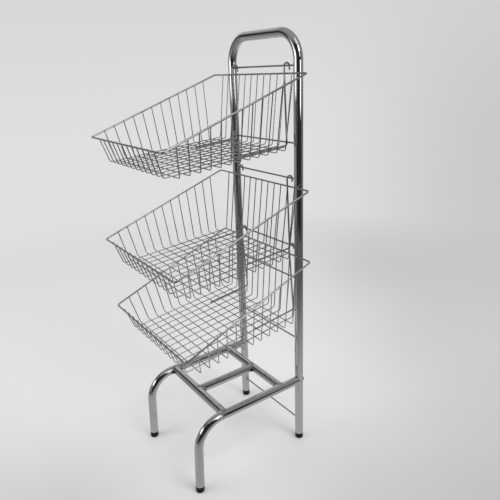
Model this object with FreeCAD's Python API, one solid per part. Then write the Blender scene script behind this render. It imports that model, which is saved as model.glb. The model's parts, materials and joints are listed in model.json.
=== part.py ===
import FreeCAD, Part
import math
import os

from FreeCAD import Vector

# Three-tier wire basket stand: a bent tube frame with cross rods, and three wire
# baskets that hang from the rods by hooks. Millimetres, +Z up, front towards -Y.
# The origin is on the floor, under the middle of the stand with its baskets on it.

# Tube frame
tube_d = 25.4
tube_wall = 1.5
upright_spacing = 296.0
hoop_height = 1226.7
hoop_bend_radius = 70.0
rail_height = 214.0
rail_reach = 362.0
foot_reach = 371.0
rail_bend_radius = 78.0
front_cross_reach = 275.0
rear_cross_reach = 70.0
cope_gap = 0.05

# A straight run shorter than this is left out of a bent piece
shortest_run = 0.001

# Cross rods between the uprights
rod_d = 5.0
rod_forward = 1.0
top_rod_drop = 93.7
support_drop = 195.0
tier_pitch = 291.0
low_rod_height = 69.0

# Foot plugs
foot_height = 18.0
foot_edge = 2.5
plug_length = 22.0
plug_gap = 0.15
plug_tip = 1.5

# Bolts that hold the side rails to the uprights
bolt_d = 8.0
bolt_hole_gap = 0.3
bolt_head_d = 14.0
bolt_head_height = 4.5
bolt_tip = 3.0
bolt_running_gap = 0.05
washer_d = 17.0
washer_rim = 1.2
insert_length = 18.0
insert_recess = 3.0
insert_gap = 0.1

# Basket wires and hooks
mesh_wire_d = 2.8
rim_wire_d = 4.8
hanger_wire_d = 4.8
hook_bore_radius = 6.5
hook_tail = 10.0
hook_rest_angle = 60.0
rest_gap = 0.3
leg_bend_radius = 6.0
hanger_spacing = 236.6

# Basket shape, measured from the centre of the hook, with the hanger legs upright
rim_width = 425.0
rim_reach = 424.0
rim_back_drop = 16.8
rim_front_drop = 149.4
rim_corner_radius = 7.0
floor_width = 368.7
floor_front_reach = 401.5
floor_back_reach = 44.9
floor_front_drop = 215.8
floor_back_drop = 197.1
mesh_bend_radius = 7.0
wall_wire_end = 1.0

# Mesh: long wires run front to back, cross wires run side to side
long_wire_count = 12
long_pitch = 28.6
long_front_pitch = 30.0
long_back_pitch = 28.8
cross_wire_count = 12
cross_pitch = 27.8
cross_front_margin = 27.1
cross_rim_pitch = 29.75
cross_rim_margin = 37.6
arm_wire_count = 4
arm_end = 6.0

# How far each basket hangs off the middle of its rods, to the right
top_basket_shift = -11.0
middle_basket_shift = -3.0
bottom_basket_shift = 3.0

# Places that follow from the sizes
tube_r = tube_d / 2
tube_bore_r = tube_r - tube_wall
rod_r = rod_d / 2
mesh_r = mesh_wire_d / 2
rim_r = rim_wire_d / 2
hanger_r = hanger_wire_d / 2
half_spacing = upright_spacing / 2
top_axis = hoop_height - tube_r
hook_radius = hook_bore_radius + hanger_r
hook_play = hook_bore_radius - rod_r - rest_gap
head_depth = washer_rim + bolt_head_height
whole_front = rim_reach + rim_r + rod_forward + hook_play
whole_back = tube_r + head_depth
upright_y = (whole_front - whole_back) / 2
rod_y = upright_y - rod_forward
rail_corner_y = upright_y - rail_reach
front_foot_y = upright_y - foot_reach
front_cross_y = upright_y - front_cross_reach
rear_cross_y = upright_y - rear_cross_reach

AXIS_X = Vector(1, 0, 0)
AXIS_Y = Vector(0, 1, 0)
AXIS_Z = Vector(0, 0, 1)


def export(name, solids):
    """Writes one node, as one solid or as several separate ones."""
    shape = solids[0]
    if len(solids) > 1:
        shape = Part.makeCompound(solids)
    shape.exportStep(os.path.join("parts", name + ".step"))


# Sweeps along straight runs and tangent arcs

def corner_arc(before, corner, after, radius):
    """Start, middle and end of the arc that rounds a corner."""
    back = (before - corner).normalize()
    ahead = (after - corner).normalize()
    half = back.getAngle(ahead) / 2
    inner = (back + ahead).normalize()
    centre = corner + inner * (radius / math.sin(half))
    reach = radius / math.tan(half)
    return corner + back * reach, centre - inner * radius, corner + ahead * reach


def run(start, end):
    """A straight edge, or none where two arcs meet."""
    if start.distanceToPoint(end) < shortest_run:
        return []
    return [Part.LineSegment(start, end).toShape()]


def rounded_path(points, radii):
    """An open wire through the points, with an arc of its own radius at each corner."""
    edges = []
    at = points[0]
    for i, radius in enumerate(radii):
        start, middle, end = corner_arc(points[i], points[i + 1], points[i + 2], radius)
        edges += run(at, start)
        edges.append(Part.Arc(start, middle, end).toShape())
        at = end
    edges += run(at, points[-1])
    return Part.Wire(edges)


def disc(centre, direction, radius):
    return Part.Face(Part.Wire(Part.Circle(centre, direction, radius).toShape()))


def bent_rod(points, radii, radius):
    """A round bar along the path."""
    path = rounded_path(points, radii)
    return path.makePipe(disc(points[0], points[1] - points[0], radius))


def bent_tube(points, radii):
    """A round tube along the path, open at both ends."""
    outside = bent_rod(points, radii, tube_r)
    inside = bent_rod(points, radii, tube_bore_r)
    return outside.cut(inside)


def bar(start, end, radius):
    along = end - start
    return Part.makeCylinder(radius, along.Length, start, along)


def straight_tube(start, end):
    return bar(start, end, tube_r).cut(bar(start, end, tube_bore_r))


def upright_cutter(side):
    """The space an upright takes, with the gap of a coped end."""
    foot = Vector(side * half_spacing, upright_y, 0)
    return bar(foot, foot + AXIS_Z * hoop_height, tube_r + cope_gap)


def rail_cutter(side):
    """The space the straight of a side rail takes, with the gap of a coped end."""
    back = Vector(side * half_spacing, upright_y, rail_height)
    return bar(back, back - AXIS_Y * rail_reach, tube_r + cope_gap)


def cross_cutter(y):
    left = Vector(-half_spacing, y, rail_height)
    return bar(left, left + AXIS_X * upright_spacing, tube_r + cope_gap)


# Frame

def upright_hoop():
    """One tube bent into the two uprights and the top bar, with a bolt hole in each leg."""
    points = [
        Vector(-half_spacing, upright_y, foot_height),
        Vector(-half_spacing, upright_y, top_axis),
        Vector(half_spacing, upright_y, top_axis),
        Vector(half_spacing, upright_y, foot_height),
    ]
    hoop = bent_tube(points, [hoop_bend_radius, hoop_bend_radius])
    for side in (-1, 1):
        middle = Vector(side * half_spacing, upright_y, rail_height)
        hole = bar(middle - AXIS_Y * tube_d, middle + AXIS_Y * tube_d, bolt_d / 2 + bolt_hole_gap)
        hoop = hoop.cut(hole)
    return hoop


def side_rail(side):
    """From the upright forward, then bent down and a little forward to the front foot."""
    corner = Vector(side * half_spacing, rail_corner_y, rail_height)
    foot = Vector(side * half_spacing, front_foot_y, 0)
    up = (corner - foot).normalize()
    points = [Vector(side * half_spacing, upright_y, rail_height), corner, foot + up * foot_height]
    return bent_tube(points, [rail_bend_radius]).cut(upright_cutter(side))


def cross_tube(y):
    """A tube between the side rails, its ends coped to fit them."""
    tube = straight_tube(Vector(-half_spacing, y, rail_height), Vector(half_spacing, y, rail_height))
    return tube.cut(rail_cutter(-1)).cut(rail_cutter(1))


def centre_tube():
    tube = straight_tube(Vector(0, front_cross_y, rail_height), Vector(0, rear_cross_y, rail_height))
    return tube.cut(cross_cutter(front_cross_y)).cut(cross_cutter(rear_cross_y))


def cross_rod(height):
    """A wire rod butted against the inner sides of the uprights."""
    rod = bar(Vector(-half_spacing, rod_y, height), Vector(half_spacing, rod_y, height), rod_r)
    return rod.cut(upright_cutter(-1)).cut(upright_cutter(1))


def foot_plug(foot, above):
    """A plastic foot as wide as its tube, flat on the floor, with a stem up the bore."""
    up = (above - foot).normalize()
    shoulder = foot + up * foot_height
    body = bar(foot - up * tube_r, shoulder, tube_r)
    floor = Part.makeBox(tube_d * 2, tube_d * 2, tube_d, foot - Vector(tube_d, tube_d, tube_d))
    body = body.cut(floor)
    low = [edge for edge in body.Edges if edge.BoundBox.ZMax < foot_edge]
    body = body.makeChamfer(foot_edge, low)
    stem_r = tube_bore_r - plug_gap
    stem_top = shoulder + up * plug_length
    stem = bar(shoulder, stem_top, stem_r)
    tip = Part.makeCone(stem_r, stem_r - plug_tip, plug_tip, stem_top, up)
    return body.fuse(stem).fuse(tip).removeSplitter()


def rail_bolt(side):
    """A domed bolt from behind the upright into the insert in the rail."""
    seat = Vector(side * half_spacing, upright_y + tube_r + washer_rim, rail_height)
    length = tube_d + washer_rim + insert_recess + insert_length + bolt_tip
    shank = bar(seat, seat - AXIS_Y * length, bolt_d / 2)
    half = bolt_head_d / 2
    dome_r = (half ** 2 + bolt_head_height ** 2) / (2 * bolt_head_height)
    dome = Part.makeSphere(dome_r, seat + AXIS_Y * (bolt_head_height - dome_r))
    head = dome.common(bar(seat, seat + AXIS_Y * bolt_head_height, half))
    return shank.fuse(head).removeSplitter()


def rail_washer(side):
    """A saddle washer, flat behind and hollow in front to sit on the tube."""
    axis = Vector(side * half_spacing, upright_y, rail_height)
    back = axis + AXIS_Y * (tube_r + washer_rim)
    blank = bar(axis, back, washer_d / 2)
    hole = bar(axis, back, bolt_d / 2 + bolt_hole_gap)
    return blank.cut(hole).cut(upright_cutter(side))


def rail_insert(side):
    """The threaded plug inside the rear end of a side rail."""
    front = Vector(side * half_spacing, upright_y - tube_r - insert_recess, rail_height)
    back = front - AXIS_Y * insert_length
    return bar(front, back, tube_bore_r - insert_gap).cut(bar(front, back, bolt_d / 2 + bolt_running_gap))


# Mesh wires: six-sided bars with mitred bends, the flats up and down on the basket floor

def softened(points, radius):
    """The path with each corner cut twice, at the ends and the middle of its arc."""
    path = [points[0]]
    for i in range(1, len(points) - 1):
        path += corner_arc(points[i - 1], points[i], points[i + 1], radius)
    return path + [points[-1]]


def slid(ring, direction, point, normal):
    """The ring moved along a direction onto the plane through a point."""
    moved = []
    for corner in ring:
        gap = (point - corner).dot(normal) / direction.dot(normal)
        moved.append(corner + direction * gap)
    return moved


def mesh_wire(points, up):
    """A hexagonal wire through four points; the middle run has its flats facing up."""
    path = softened(points, mesh_bend_radius)
    steps = [(b - a).normalize() for a, b in zip(path, path[1:])]
    normals = [steps[0]] + [(a + b).normalize() for a, b in zip(steps, steps[1:])] + [steps[-1]]
    middle = len(steps) // 2
    across = steps[middle].cross(up).normalize()
    corner_r = mesh_r / math.cos(math.pi / 6)
    ring = []
    for i in range(6):
        angle = i * math.pi / 3
        offset = across * math.cos(angle) + up * math.sin(angle)
        ring.append(path[middle] + offset * corner_r)
    rings = {middle: slid(ring, steps[middle], path[middle], normals[middle])}
    for i in range(middle, len(steps)):
        rings[i + 1] = slid(rings[i], steps[i], path[i + 1], normals[i + 1])
    for i in range(middle, 0, -1):
        rings[i - 1] = slid(rings[i], steps[i - 1], path[i - 1], normals[i - 1])
    faces = [flat(rings[0]), flat(rings[len(steps)])]
    for i in range(len(steps)):
        for k in range(6):
            n = (k + 1) % 6
            faces.append(flat([rings[i][k], rings[i][n], rings[i + 1][n], rings[i + 1][k]]))
    solid = Part.Solid(Part.Shell(faces))
    if solid.Volume < 0:
        solid.reverse()
    return solid


def flat(corners):
    return Part.Face(Part.makePolygon(corners + [corners[0]]))


# Basket, in its own frame: the centre of the hook at the origin, the hanger legs upright

floor_slope = math.atan2(floor_front_drop - floor_back_drop, floor_front_reach - floor_back_reach)
floor_up = Vector(0, -math.sin(floor_slope), math.cos(floor_slope))
rim_back_reach = hook_radius + hanger_r + rim_r


def floor_point(reach, x, above):
    """A point over or under the plane where the two layers of floor wires touch."""
    drop = floor_back_drop + (reach - floor_back_reach) * math.tan(floor_slope)
    return Vector(x, -reach, -drop) + floor_up * above


def rim_point(reach, x):
    """A point on the sloping centre line of the rim's sides."""
    share = (reach - rim_back_reach) / (rim_reach - rim_back_reach)
    return Vector(x, -reach, -rim_back_drop - share * (rim_front_drop - rim_back_drop))


def lean(out, rise, clear):
    """Angle off upright of a wall wire that passes inside a rim at a given distance."""
    return math.atan2(out, rise) - math.asin(clear / math.hypot(out, rise))


def basket_rim():
    """The closed rim loop, a sloping rectangle with round corners, as two halves joined."""
    half = rim_width / 2
    radii = [rim_corner_radius, rim_corner_radius]
    halves = []
    for side in (-1, 1):
        points = [
            rim_point(rim_back_reach, 0),
            rim_point(rim_back_reach, side * half),
            rim_point(rim_reach, side * half),
            rim_point(rim_reach, 0),
        ]
        halves.append(bent_rod(points, radii, rim_r))
    return halves[0].fuse(halves[1])


def wall_top(bottom, out, lean_angle, rim, x):
    """Top end of a front or back wall wire, just past the rim's centre line."""
    away = out * math.sin(lean_angle) + AXIS_Z * math.cos(lean_angle)
    flat_rim = Vector(0, rim.y, rim.z)
    flat_bottom = Vector(0, bottom.y, bottom.z)
    length = (flat_rim - flat_bottom).dot(away) + wall_wire_end
    top = flat_bottom + away * length
    return Vector(x, top.y, top.z)


def long_wire(i):
    """Down the front wall, along the floor and up the back wall."""
    place = i - (long_wire_count - 1) / 2
    front = floor_point(floor_front_reach, place * long_pitch, mesh_r)
    back = floor_point(floor_back_reach, place * long_pitch, mesh_r)
    rim_front = rim_point(rim_reach, 0)
    rim_back = rim_point(rim_back_reach, 0)
    front_lean = lean(front.y - rim_front.y, rim_front.z - front.z, rim_r + mesh_r)
    back_lean = lean(rim_back.y - back.y, rim_back.z - back.z, rim_r + mesh_r)
    front_top = wall_top(front, -AXIS_Y, front_lean, rim_front, place * long_front_pitch)
    back_top = wall_top(back, AXIS_Y, back_lean, rim_back, place * long_back_pitch)
    return mesh_wire([front_top, front, back, back_top], floor_up)


def cross_wire_reach(i):
    return floor_front_reach - cross_front_margin - i * cross_pitch


def cross_wire(i):
    """Down the left wall, across under the long wires and up the right wall."""
    corner = floor_point(cross_wire_reach(i), floor_width / 2, -mesh_r)
    rim = rim_point(rim_reach - cross_rim_margin - i * cross_rim_pitch, rim_width / 2)
    rim_along = (rim_point(rim_reach, 0) - rim_point(rim_back_reach, 0)).normalize()
    rim_up = AXIS_X.cross(rim_along).normalize()
    if rim_up.z < 0:
        rim_up = rim_up * -1
    wall = Vector(0, rim.y - corner.y, rim.z - corner.z)
    rise = wall.dot(rim_up)
    out = math.tan(lean(rim.x - corner.x, rise, rim_r + mesh_r)) * rise
    length = math.hypot(wall.Length, out)
    longer = (length + wall_wire_end) / length
    top = corner + (wall + AXIS_X * out) * longer
    mirror = [Vector(-p.x, p.y, p.z) for p in (top, corner)]
    return mesh_wire([mirror[0], mirror[1], corner, top], floor_up)


def hanger(x):
    """Hook over the rod, leg down behind the basket and arm forward under its floor."""
    under = -(mesh_wire_d + hanger_r)
    arm_reach = cross_wire_reach(cross_wire_count - arm_wire_count) + arm_end
    points = [
        Vector(x, hook_radius, -hook_tail),
        Vector(x, hook_radius, hook_radius),
        Vector(x, -hook_radius, hook_radius),
        floor_point(hook_radius, x, 0) + AXIS_Z * (under / math.cos(floor_slope)),
        floor_point(arm_reach, x, under),
    ]
    return bent_rod(points, [hook_radius, hook_radius, leg_bend_radius], hanger_r)


def basket_place(hook_height, drop, shift):
    """Where a basket hangs: on its rod by the hooks, the legs against a rod below."""
    rest = math.radians(hook_rest_angle)
    back = hook_play * math.sin(rest)
    below = drop - hook_play * math.cos(rest)
    tilt = math.atan2(back, below) + math.asin(hook_play / math.hypot(back, below))
    centre = Vector(shift, rod_y - back, hook_height - hook_play * math.cos(rest))
    return FreeCAD.Placement(centre, FreeCAD.Rotation(AXIS_X, math.degrees(tilt)))


# Where the baskets hang: the bottom one hooks on the rod that the middle one leans on
top_hook_height = hoop_height - top_rod_drop
middle_hook_height = top_hook_height - tier_pitch
lower_hook_height = middle_hook_height - tier_pitch
middle_support_height = middle_hook_height - support_drop
baskets = {
    "top": (top_hook_height, support_drop, top_basket_shift),
    "middle": (middle_hook_height, support_drop, middle_basket_shift),
    "bottom": (middle_support_height, middle_support_height - lower_hook_height, bottom_basket_shift),
}
rods = {
    "top_hook_rod": top_hook_height,
    "top_support_rod": top_hook_height - support_drop,
    "middle_hook_rod": middle_hook_height,
    "middle_support_rod": middle_support_height,
    "lower_hook_rod": lower_hook_height,
    "lower_support_rod": lower_hook_height - support_drop,
    "low_stretcher_rod": low_rod_height,
}


def main():
    os.makedirs("parts", exist_ok=True)
    export("upright_hoop", [upright_hoop()])
    export("left_side_rail", [side_rail(-1)])
    export("right_side_rail", [side_rail(1)])
    export("front_cross_tube", [cross_tube(front_cross_y)])
    export("rear_cross_tube", [cross_tube(rear_cross_y)])
    export("centre_tube", [centre_tube()])
    for name, height in rods.items():
        export(name, [cross_rod(height)])
    for name, side in (("left", -1), ("right", 1)):
        front = Vector(side * half_spacing, front_foot_y, 0)
        rear = Vector(side * half_spacing, upright_y, 0)
        corner = Vector(side * half_spacing, rail_corner_y, rail_height)
        export("front_" + name + "_foot", [foot_plug(front, corner)])
        export("rear_" + name + "_foot", [foot_plug(rear, rear + AXIS_Z * rail_height)])
    export("rail_bolts", [rail_bolt(side) for side in (-1, 1)])
    export("rail_washers", [rail_washer(side) for side in (-1, 1)])
    export("rail_inserts", [rail_insert(side) for side in (-1, 1)])
    pieces = {
        "rim": [basket_rim()],
        "long_wires": [long_wire(i) for i in range(long_wire_count)],
        "cross_wires": [cross_wire(i) for i in range(cross_wire_count)],
        "left_hanger": [hanger(-hanger_spacing / 2)],
        "right_hanger": [hanger(hanger_spacing / 2)],
    }
    for name, (height, drop, shift) in baskets.items():
        place = basket_place(height, drop, shift)
        for piece, solids in pieces.items():
            placed = [solid.transformed(place.toMatrix(), True) for solid in solids]
            export(name + "_basket_" + piece, placed)


main()
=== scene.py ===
import json
import math

import bpy
import numpy as np
from mathutils import Matrix, Vector


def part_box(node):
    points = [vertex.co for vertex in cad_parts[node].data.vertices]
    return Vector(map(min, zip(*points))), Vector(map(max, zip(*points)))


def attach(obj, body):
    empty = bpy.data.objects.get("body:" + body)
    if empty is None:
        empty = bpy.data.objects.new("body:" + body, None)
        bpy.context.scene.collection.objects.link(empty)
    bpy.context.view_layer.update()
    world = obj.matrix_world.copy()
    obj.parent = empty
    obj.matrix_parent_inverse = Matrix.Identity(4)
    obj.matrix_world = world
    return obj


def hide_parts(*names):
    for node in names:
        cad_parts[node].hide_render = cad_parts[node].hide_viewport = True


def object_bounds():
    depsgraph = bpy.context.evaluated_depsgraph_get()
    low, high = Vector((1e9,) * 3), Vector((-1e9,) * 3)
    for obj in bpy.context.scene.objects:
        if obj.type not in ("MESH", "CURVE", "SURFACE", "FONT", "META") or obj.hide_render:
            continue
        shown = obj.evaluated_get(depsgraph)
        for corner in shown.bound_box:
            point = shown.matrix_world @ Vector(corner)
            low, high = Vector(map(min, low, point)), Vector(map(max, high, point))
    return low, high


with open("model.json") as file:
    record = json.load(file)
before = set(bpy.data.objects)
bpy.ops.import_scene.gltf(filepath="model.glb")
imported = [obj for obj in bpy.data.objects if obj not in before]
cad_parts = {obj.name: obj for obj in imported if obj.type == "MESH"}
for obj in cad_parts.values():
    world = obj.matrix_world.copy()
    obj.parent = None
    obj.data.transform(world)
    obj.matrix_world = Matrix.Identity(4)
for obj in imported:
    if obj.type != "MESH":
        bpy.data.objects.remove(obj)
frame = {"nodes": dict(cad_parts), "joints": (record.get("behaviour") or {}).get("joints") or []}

cadLow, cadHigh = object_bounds()
print("frame loaded:", len(frame["nodes"]), "nodes")

# The stand is chromed tube, rod and wire, so nearly every piece is a round bar along a line of
# straight runs and arcs. Lengths are metres, and places come from the frame's boxes.

build = {
    "slack": 1e-9,  # where two runs meet
    "decimals": 5,  # rings nearer than this are one
    "markSpread": 0.0025,
    "sharpDegrees": 40,
}


def unit(vectors):
    return vectors / np.linalg.norm(vectors, axis=-1, keepdims=True)


def column(values):
    return np.array(values, float)[:, None]


def turns(count):
    # even angles, once round
    return 2 * math.pi * np.arange(count) / count


def middleOf(node):
    low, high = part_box(node)
    return [float(value) for value in (low + high) / 2]


def bentLine(points, bends):
    # Runs joined by tangent arcs. On an arc the place is centre + radius * (ahead sin a - inward cos a).
    points = [np.array(p, float) for p in points]
    line = []
    at = points[0]
    travelled = 0.0
    for before, corner, after, radius in zip(points, points[1:], points[2:], bends):
        arrive = unit(corner - before)
        leave = unit(after - corner)
        turn = math.acos(float(arrive @ leave))
        inward = unit(leave - arrive * float(arrive @ leave))
        arcStart = corner - arrive * radius * math.tan(turn / 2)
        run = float(np.linalg.norm(arcStart - at))
        line.append({"from": travelled, "length": run, "at": at, "ahead": arrive, "radius": 0.0})
        travelled += run
        line.append({"from": travelled, "length": radius * turn, "at": arcStart + inward * radius,
                     "ahead": arrive, "inward": inward, "radius": radius})
        travelled += radius * turn
        at = corner + leave * radius * math.tan(turn / 2)
    run = float(np.linalg.norm(points[-1] - at))
    line.append({"from": travelled, "length": run, "at": at, "ahead": unit(points[-1] - points[-2]),
                 "radius": 0.0})
    return line


def lineLength(line):
    return line[-1]["from"] + line[-1]["length"]


def alongLine(line, lengths):
    # place and direction at each length, run by run
    places = np.zeros((len(lengths), 3))
    ahead = np.zeros((len(lengths), 3))
    for part in line:
        here = lengths >= part["from"] - build["slack"]
        gone = (lengths[here] - part["from"])[:, None]
        if part["radius"]:
            angle = gone / part["radius"]
            out = part["ahead"] * np.sin(angle) - part["inward"] * np.cos(angle)
            places[here] = part["at"] + part["radius"] * out
            ahead[here] = part["ahead"] * np.cos(angle) + part["inward"] * np.sin(angle)
        else:
            places[here] = part["at"] + part["ahead"] * gone
            ahead[here] = part["ahead"]
    return places, ahead


def lengthsAt(line, points):
    # how far along the line each point lies, taken on the run that passes nearest to it
    best = np.full(len(points), np.inf)
    lengths = np.zeros(len(points))
    for part in line:
        if part["radius"]:
            continue
        gone = np.clip((points - part["at"]) @ part["ahead"], 0, part["length"])
        gap = np.linalg.norm(points - part["at"] - part["ahead"] * gone[:, None], axis=1)
        lengths = np.where(gap < best, part["from"] + gone, lengths)
        best = np.minimum(best, gap)
    return lengths


def ringStops(line, bar, marks=(), spread=build["markSpread"]):
    # lengths where a ring of points stands: even steps, and three rings at each mark
    marks = np.asarray(marks, float)
    stops = [marks, marks - spread, marks + spread]
    for part in line:
        step = part["radius"] * math.radians(bar["arcDegrees"]) if part["radius"] else bar["runStep"]
        count = max(1, math.ceil(part["length"] / step))
        stops.append(part["from"] + part["length"] * np.arange(count + 1) / count)
    stops = np.clip(np.concatenate(stops), 0, lineLength(line))
    return np.unique(np.round(stops, build["decimals"]))


def spokesOf(ahead, side, sides):
    # n is side made square to the line, m = ahead x n, and a spoke is n cos a + m sin a
    side = np.broadcast_to(np.asarray(side, float), ahead.shape)
    n = unit(side - ahead * np.sum(ahead * side, -1, keepdims=True))
    m = np.cross(ahead, n)
    angle = turns(sides)[:, None]
    return n[:, None, :] * np.cos(angle) + m[:, None, :] * np.sin(angle)


def ringQuads(rings, sides, loop=False):
    # quads between neighbouring rings of points, round each ring and perhaps round the rings
    i = np.arange(rings if loop else rings - 1)[:, None] * sides
    j = np.arange(sides)
    up = (i + sides) % (rings * sides)
    on = (j + 1) % sides
    return np.stack([i + j, i + on, up + on, up + j], -1).reshape(-1, 4)


def ringPart(grid, radii, lengths, loop=False, tips=None):
    # Rings of points joined by quads, closed by a fan at each end or round into a loop. Each point
    # also keeps (r cos a, r sin a, length), so that a finish can follow the bar without a seam.
    rings, sides = grid.shape[:2]
    radii = np.broadcast_to(radii, (rings, sides))
    lengths = np.broadcast_to(lengths, (rings, sides))
    angle = turns(sides)
    around = np.stack([radii * np.cos(angle), radii * np.sin(angle), lengths], -1).reshape(-1, 3)
    points = grid.reshape(-1, 3)
    tris = np.zeros((0, 3), int)
    if not loop:
        if tips is None:
            tips = (grid[0].mean(0), grid[-1].mean(0))
        j = np.arange(sides)
        on = (j + 1) % sides
        first = len(points)
        top = (rings - 1) * sides
        tris = np.concatenate([np.stack([np.full(sides, first), on, j], -1),
                               np.stack([np.full(sides, first + 1), top + j, top + on], -1)])
        points = np.concatenate([points, np.array(tips)])
        around = np.concatenate([around, [[0, 0, lengths[0, 0]], [0, 0, lengths[-1, 0]]]])
    return {"points": points, "quads": ringQuads(rings, sides, loop), "tris": tris, "around": around}


def barPart(line, lengths, bar, side):
    # a round bar: place(s) + radius * spoke(a), with its two ends eased by a bevel
    lengths = np.unique(np.concatenate([lengths, [bar["bevel"], lineLength(line) - bar["bevel"]]]))
    radii = np.full(len(lengths), bar["radius"])
    radii[[0, -1]] -= bar["bevel"]
    places, ahead = alongLine(line, lengths)
    grid = places[:, None, :] + spokesOf(ahead, side, bar["sides"]) * radii[:, None, None]
    return ringPart(grid, radii[:, None], lengths[:, None])


def turnedPart(base, axis, side, radii, heights, sides, loop=False, tips=None):
    # base + axis * height + spoke * radius; radii and heights may differ round the ring
    spoke = spokesOf(axis[None], side, sides)[0]
    radii = np.asarray(radii, float) * np.ones((1, sides))
    heights = np.asarray(heights, float) * np.ones((1, sides))
    grid = base + axis * heights[..., None] + spoke * radii[..., None]
    if tips is not None:
        tips = [base + axis * height for height in tips]
    return ringPart(grid, radii, heights, loop, tips)


def repeated(part, centres, axes, size):
    # copies of a small part, each stretched by size and turned by the rows of axes
    shape = (part["points"] * size) @ np.array(axes)
    starts = len(shape) * np.arange(len(centres))
    return {
        "points": (centres[:, None, :] + shape[None]).reshape(-1, 3),
        "quads": (starts[:, None, None] + part["quads"][None]).reshape(-1, 4),
        "tris": (starts[:, None, None] + part["tris"][None]).reshape(-1, 3),
        "around": np.tile(part["around"] * size, (len(centres), 1)),
    }


def moved(points, place):
    return points @ place[:3, :3].T + place[:3, 3]


def placed(part, place):
    return {**part, "points": moved(part["points"], place)}


def spotsOn(points, spots):
    # strength * exp(-(distance / reach) squared), the largest over all the marked places
    value = np.zeros(len(points))
    for places, reach, strength in spots:
        places = np.asarray(places)
        apart = (points ** 2).sum(1)[:, None] + (places ** 2).sum(1)[None] - 2 * points @ places.T
        value = np.maximum(value, strength * np.exp(-apart.min(1) / reach ** 2))
    return value


def linked(name, data):
    made = bpy.data.objects.new(name, data)
    bpy.context.scene.collection.objects.link(made)
    return made


def makePiece(name, parts, material, body, replaced=(), spots=()):
    points, around = (np.concatenate([p[key] for p in parts]) for key in ("points", "around"))
    starts = np.cumsum([0] + [len(p["points"]) for p in parts])
    quads, tris = (np.concatenate([p[key] + s for p, s in zip(parts, starts)]) for key in ("quads", "tris"))
    mesh = bpy.data.meshes.new(name)
    mesh.vertices.add(len(points))
    mesh.vertices.foreach_set("co", points.astype(np.float32).ravel())
    corners = np.concatenate([quads.ravel(), tris.ravel()])
    mesh.loops.add(len(corners))
    mesh.loops.foreach_set("vertex_index", corners.astype(np.int32))
    mesh.polygons.add(len(quads) + len(tris))
    loopStart = np.concatenate([4 * np.arange(len(quads)), 4 * len(quads) + 3 * np.arange(len(tris))])
    mesh.polygons.foreach_set("loop_start", loopStart.astype(np.int32))
    mesh.update(calc_edges=True)
    mesh.shade_smooth()
    mesh.set_sharp_from_angle(angle=math.radians(build["sharpDegrees"]))
    carried = [("around", "FLOAT_VECTOR", "vector", around),
               ("spot", "FLOAT", "value", spotsOn(points, spots))]
    for label, kind, key, values in carried:
        mesh.attributes.new(label, kind, "POINT").data.foreach_set(key, values.astype(np.float32).ravel())
    mesh.materials.append(material)
    piece = linked(name, mesh)
    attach(piece, body)
    if replaced:
        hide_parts(*replaced)


def makeNode(node, parts, material, body, spots=()):
    # a piece in the place of a CAD node, under the node's name in camelCase
    first, *others = node.split("_")
    name = first + "".join(word.title() for word in others)
    makePiece(name, parts, material, body, [node], spots)


# Finishes

class Socket:
    # one output of a node, so that its values add and multiply as in a formula
    def __init__(self, finish, out):
        self.finish = finish
        self.out = out

    def other(self, name):
        return Socket(self.finish, self.out.node.outputs[name])

    def maths(self, operation, *values):
        return self.finish.node("Math", {"operation": operation}, dict(enumerate(values)))

    def __add__(self, other):
        return self.maths("ADD", self, other)

    __radd__ = __add__

    def __sub__(self, other):
        return self.maths("SUBTRACT", self, other)

    def __rsub__(self, other):
        return self.maths("SUBTRACT", other, self)

    def __mul__(self, other):
        return self.maths("MULTIPLY", self, other)

    __rmul__ = __mul__

    def __abs__(self):
        return self.maths("ABSOLUTE", self)

    def between(self, low, high):
        # eases from 0 at low to 1 at high
        values = {"Value": self, "From Min": low, "From Max": high}
        return self.finish.node("MapRange", {"interpolation_type": "SMOOTHSTEP"}, values)

    def within(self, foot, top):
        # eases up over the foot's two values and down again over the top's
        return self.between(*foot) * (1 - self.between(*top))


class Finish:
    # the node tree of a material or of the world
    def __init__(self, owner):
        self.owner = owner
        owner.use_nodes = True
        self.tree = owner.node_tree
        self.tree.nodes.clear()

    def node(self, kind, settings=None, inputs=None, out=0):
        made = self.tree.nodes.new("ShaderNode" + kind)
        for name, value in (settings or {}).items():
            setattr(made, name, value)
        for name, value in (inputs or {}).items():
            if isinstance(value, Socket):
                self.tree.links.new(value.out, made.inputs[name])
            else:
                made.inputs[name].default_value = value
        return Socket(self, made.outputs[out]) if made.outputs else made

    def mix(self, factor, low, high):
        values = {"Factor": factor, 6: low, 7: high}
        return self.node("Mix", {"data_type": "RGBA"}, values, 2)

    def noise(self, vector, scale, detail=2.0, roughness=0.5):
        values = {"Vector": vector, "Scale": scale, "Detail": detail, "Roughness": roughness}
        return self.node("TexNoise", {}, values)

    def stretched(self, vector, scale):
        return self.node("VectorMath", {"operation": "MULTIPLY"}, {0: vector, 1: scale})

    def attribute(self, name, out):
        return self.node("Attribute", {"attribute_name": name}, {}, out)

    def objectPlace(self):
        return self.node("TexCoord", out="Object")

    def surface(self, kind, inputs):
        # the material, finished by its last shader
        shader = self.node(kind, {}, inputs)
        self.node("OutputMaterial", {}, {"Surface": shader})
        return self.owner

    def principled(self, colour, rough, depth, relief, others):
        bump = self.node("Bump", {}, {"Distance": depth, "Height": relief})
        values = {"Base Color": colour, "Roughness": rough, "Normal": bump}
        return self.surface("BsdfPrincipled", {**values, **others})


# A noise is (scale, detail, roughness), and a From is where its mask starts and where it is full.

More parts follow.
